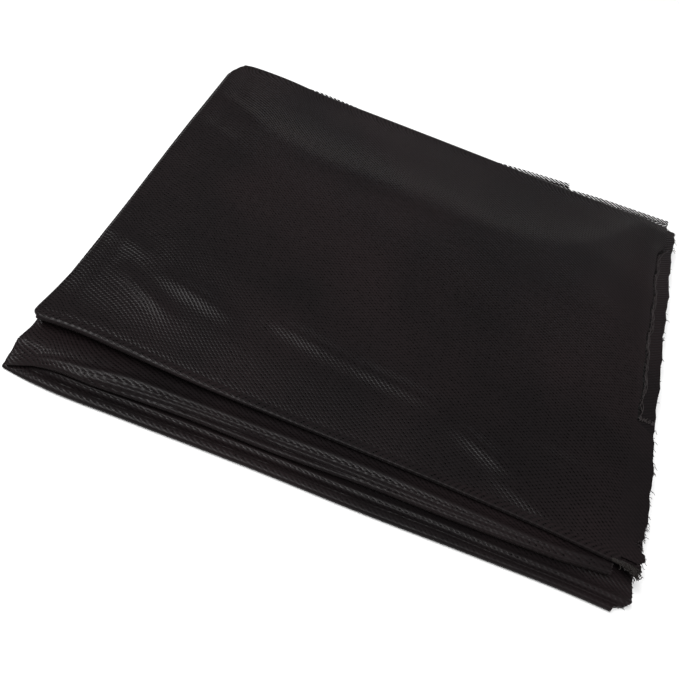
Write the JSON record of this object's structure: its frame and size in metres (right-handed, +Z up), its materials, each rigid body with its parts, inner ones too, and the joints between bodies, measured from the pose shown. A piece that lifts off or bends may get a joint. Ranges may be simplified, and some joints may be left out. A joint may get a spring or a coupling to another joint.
{
  "type": "folded sports net",
  "caption": "Fine black knitted tennis net folded into a flat packet; doubled leaves zigzag between soft front and back folds and open on fold lines, with frayed cut ends at the right.",
  "frame": {"origin": "centre of the packet's underside, on the surface that it rests on", "axes": "+X along the front folds from the bent side to the cut ends, +Y from the front folds to the back folds, +Z up through the stack"},
  "size_m": [0.258, 0.2352, 0.0105],
  "materials": {
    "mesh_ply": "fine knitted hexagonal mesh, matt with a faint sheen",
    "mesh_fold": "the same mesh, bent round a fold",
    "selvedge": "dense knitted edge band",
    "frayed_yarn": "loose cut yarn ends"
  },
  "bodies": {
    "bottom_leaf": {"bottom_leaf_lower_ply": "mesh_ply", "bottom_leaf_upper_ply": "mesh_ply", "bottom_leaf_left_bend": "mesh_fold", "back_selvedge_lower": "selvedge", "back_selvedge_upper": "selvedge", "lower_front_fold_outer": "mesh_fold", "lower_front_fold_inner": "mesh_fold"},
    "fourth_leaf": {"fourth_leaf_lower_ply": "mesh_ply", "fourth_leaf_upper_ply": "mesh_ply", "fourth_leaf_left_bend": "mesh_fold", "lower_back_fold_outer": "mesh_fold", "lower_back_fold_inner": "mesh_fold"},
    "third_leaf": {"third_leaf_lower_ply": "mesh_ply", "third_leaf_upper_ply": "mesh_ply", "third_leaf_left_bend": "mesh_fold", "upper_front_fold_outer": "mesh_fold", "upper_front_fold_inner": "mesh_fold"},
    "second_leaf": {"second_leaf_lower_ply": "mesh_ply", "second_leaf_upper_ply": "mesh_ply", "second_leaf_left_bend": "mesh_fold", "upper_back_fold_outer": "mesh_fold", "upper_back_fold_inner": "mesh_fold"},
    "top_leaf": {"top_leaf_lower_ply": "mesh_ply", "top_leaf_upper_ply": "mesh_ply", "top_leaf_left_bend": "mesh_fold", "front_selvedge_lower": "selvedge", "front_selvedge_upper": "selvedge", "frayed_selvedge_tail": "frayed_yarn"}
  },
  "joints": [
    {"name": "lower_front_fold_open", "type": "hinge", "parent": "bottom_leaf", "child": "fourth_leaf", "pos_m": [0, -0.11567, 0.0019], "axis": [1, 0, 0], "range_deg": [0, 179.9], "deforming": ["lower_front_fold_outer", "lower_front_fold_inner"]},
    {"name": "lower_back_fold_open", "type": "hinge", "parent": "fourth_leaf", "child": "third_leaf", "pos_m": [0, 0.09957, 0.0041], "axis": [-1, 0, 0], "range_deg": [0, 179.9], "deforming": ["lower_back_fold_outer", "lower_back_fold_inner"]},
    {"name": "upper_front_fold_open", "type": "hinge", "parent": "third_leaf", "child": "second_leaf", "pos_m": [0, -0.10717, 0.0063], "axis": [1, 0, 0], "range_deg": [0, 179.9], "deforming": ["upper_front_fold_outer", "upper_front_fold_inner"]},
    {"name": "upper_back_fold_open", "type": "hinge", "parent": "second_leaf", "child": "top_leaf", "pos_m": [0, 0.09957, 0.0085], "axis": [-1, 0, 0], "range_deg": [0, 179.9], "deforming": ["upper_back_fold_outer", "upper_back_fold_inner"]}
  ],
  "couplings": [
    {"joint": "lower_back_fold_open", "follows": "lower_front_fold_open", "ratio": 1}
  ]
}
